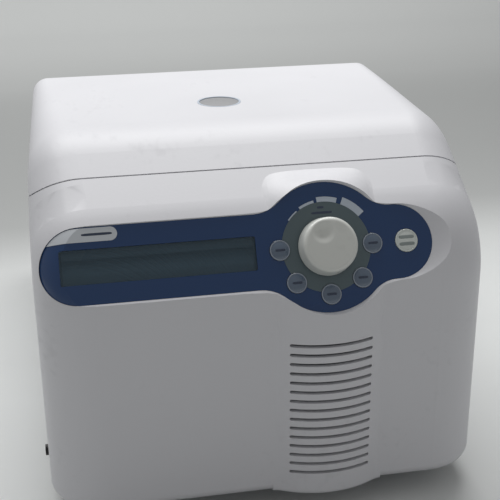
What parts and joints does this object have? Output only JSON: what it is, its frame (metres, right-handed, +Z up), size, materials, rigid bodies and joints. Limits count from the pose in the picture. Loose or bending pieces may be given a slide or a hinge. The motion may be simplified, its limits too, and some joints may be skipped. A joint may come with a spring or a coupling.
{
  "type": "refrigerated microcentrifuge",
  "caption": "Bench centrifuge with a cooled rotor chamber, hinged lid with window, sunken control panel with knob and keys, front vents and rear power entry.",
  "frame": {"origin": "on the bench, below the middle of the whole instrument", "axes": "+Z up, +X to the right as seen from the front, the control panel faces -Y"},
  "size_m": [0.3368, 0.5531, 0.278],
  "materials": {
    "case_white": "fine satin moulding",
    "overlay_blue": "smooth film",
    "print_grey": "printed",
    "print_pale": "printed",
    "tag_silver": "satin",
    "display_glass": "clear",
    "display_dark": "dark liquid crystal",
    "key_clear": "clear dome",
    "start_grey": "pale dome",
    "knob_grey": "satin",
    "board_green": "solder mask",
    "black_plastic": "satin",
    "window_clear": "clear",
    "steel": "plain",
    "stainless": "bright",
    "zinc_plate": "coated sheet",
    "black_metal": "black",
    "rotor_metal": "anodised",
    "aluminium": "plain",
    "copper": "bare",
    "rubber_black": "moulded",
    "rubber_grey": "moulded",
    "foam": "rigid foam"
  },
  "bodies": {
    "case": {"case_moulding": "case_white", "control_overlay": "overlay_blue", "dial_ring": "print_grey", "scale_segments": "print_pale", "label_tag": "tag_silver", "display_lens": "display_glass", "display_module": "display_dark", "control_board": "board_green", "board_spacers": "black_plastic", "key_switches": "black_plastic", "knob_encoder": "steel", "hinge_brackets": "steel", "hinge_pins": "stainless", "latch_brackets": "zinc_plate", "latch_pins": "stainless", "chamber_bowl": "stainless", "chamber_gasket": "rubber_grey", "cooling_jacket": "copper", "chamber_insulation": "foam", "armour_ring": "zinc_plate", "motor_mounts": "rubber_black", "motor_plate": "zinc_plate", "drive_motor": "black_metal", "spindle_seal": "rubber_black", "compressor": "black_metal", "compressor_grommets": "rubber_black", "condenser": "aluminium", "fan_frame": "black_plastic", "power_board": "board_green", "heat_sink": "aluminium", "rear_panel": "zinc_plate", "inlet_socket": "black_plastic", "inlet_pins": "copper", "base_pan": "zinc_plate", "rubber_feet": "rubber_black", "side_screws": "black_metal", "rear_screws": "black_metal"},
    "lid": {"lid_shell": "case_white", "lid_liner": "case_white", "window_bezel": "print_pale", "window_lens": "window_clear", "lid_strikers": "steel", "hinge_leaves": "steel"},
    "rotor": {"motor_spindle": "stainless", "rotor": "rotor_metal"},
    "rotor_nut": {"rotor_nut": "black_metal"},
    "latch_hook_left": {"latch_hook_left": "steel"},
    "latch_hook_right": {"latch_hook_right": "steel"},
    "key_left": {"key_left": "key_clear"},
    "key_lower_left": {"key_lower_left": "key_clear"},
    "key_bottom": {"key_bottom": "key_clear"},
    "key_lower_right": {"key_lower_right": "key_clear"},
    "key_right": {"key_right": "key_clear"},
    "start_key": {"start_key": "start_grey"},
    "dial_plunger": {"encoder_plunger": "steel"},
    "dial": {"encoder_shaft": "steel", "control_knob": "knob_grey"},
    "condenser_fan": {"condenser_fan": "black_plastic"},
    "power_rocker": {"power_rocker": "black_plastic"},
    "fuse_drawer": {"fuse_drawer": "black_plastic"}
  },
  "joints": [
    {"name": "lid_hinge", "type": "hinge", "parent": "case", "child": "lid", "pos_m": [0, 0.05895, 0.242], "axis": [-1, 0, 0], "range_deg": [0, 75]},
    {"name": "rotor_spin", "type": "hinge", "parent": "case", "child": "rotor", "pos_m": [0, -0.07505, 0.16], "axis": [0, 0, 1], "continuous": true},
    {"name": "rotor_nut_turn", "type": "hinge", "parent": "rotor", "child": "rotor_nut", "pos_m": [0, -0.07505, 0.16], "axis": [0, 0, 1], "continuous": true},
    {"name": "latch_left", "type": "hinge", "parent": "case", "child": "latch_hook_left", "pos_m": [-0.134, -0.15305, 0.2], "axis": [0, 1, 0], "range_deg": [0, 20], "stiffness_Nm_per_rad": 0.03, "springref_deg": -20.05},
    {"name": "latch_right", "type": "hinge", "parent": "case", "child": "latch_hook_right", "pos_m": [0.134, -0.15305, 0.2], "axis": [0, -1, 0], "range_deg": [0, 20], "stiffness_Nm_per_rad": 0.03, "springref_deg": -20.05},
    {"name": "key_left_press", "type": "slide", "parent": "case", "child": "key_left", "axis": [0, 0.8805, -0.4741], "range_m": [0, 0.001], "stiffness_N_per_m": 250, "springref_m": -0.0005},
    {"name": "key_lower_left_press", "type": "slide", "parent": "case", "child": "key_lower_left", "axis": [0, 0.8805, -0.4741], "range_m": [0, 0.001], "stiffness_N_per_m": 250, "springref_m": -0.0005},
    {"name": "key_bottom_press", "type": "slide", "parent": "case", "child": "key_bottom", "axis": [0, 0.8805, -0.4741], "range_m": [0, 0.001], "stiffness_N_per_m": 250, "springref_m": -0.0005},
    {"name": "key_lower_right_press", "type": "slide", "parent": "case", "child": "key_lower_right", "axis": [0, 0.8805, -0.4741], "range_m": [0, 0.001], "stiffness_N_per_m": 250, "springref_m": -0.0005},
    {"name": "key_right_press", "type": "slide", "parent": "case", "child": "key_right", "axis": [0, 0.8805, -0.4741], "range_m": [0, 0.001], "stiffness_N_per_m": 250, "springref_m": -0.0005},
    {"name": "start_key_press", "type": "slide", "parent": "case", "child": "start_key", "axis": [0, 0.8805, -0.4741], "range_m": [0, 0.001], "stiffness_N_per_m": 250, "springref_m": -0.0005},
    {"name": "knob_push", "type": "slide", "parent": "case", "child": "dial_plunger", "axis": [0, 0.8805, -0.4741], "range_m": [0, 0.001], "stiffness_N_per_m": 600, "springref_m": -0.001},
    {"name": "knob_turn", "type": "hinge", "parent": "dial_plunger", "child": "dial", "pos_m": [0.0404, -0.24945, 0.2107], "axis": [0, -0.8805, 0.4741], "continuous": true},
    {"name": "fan_spin", "type": "hinge", "parent": "case", "child": "condenser_fan", "pos_m": [0.059, 0.24695, 0.105], "axis": [0, 1, 0], "continuous": true},
    {"name": "rocker_tilt", "type": "hinge", "parent": "case", "child": "power_rocker", "pos_m": [-0.095, 0.26945, 0.131], "axis": [1, 0, 0], "range_deg": [-10, 10]},
    {"name": "fuse_drawer_slide", "type": "slide", "parent": "case", "child": "fuse_drawer", "axis": [0, 1, 0], "range_m": [0, 0.018]}
  ],
  "couplings": [
    {"joint": "latch_right", "follows": "latch_left", "ratio": 1}
  ]
}
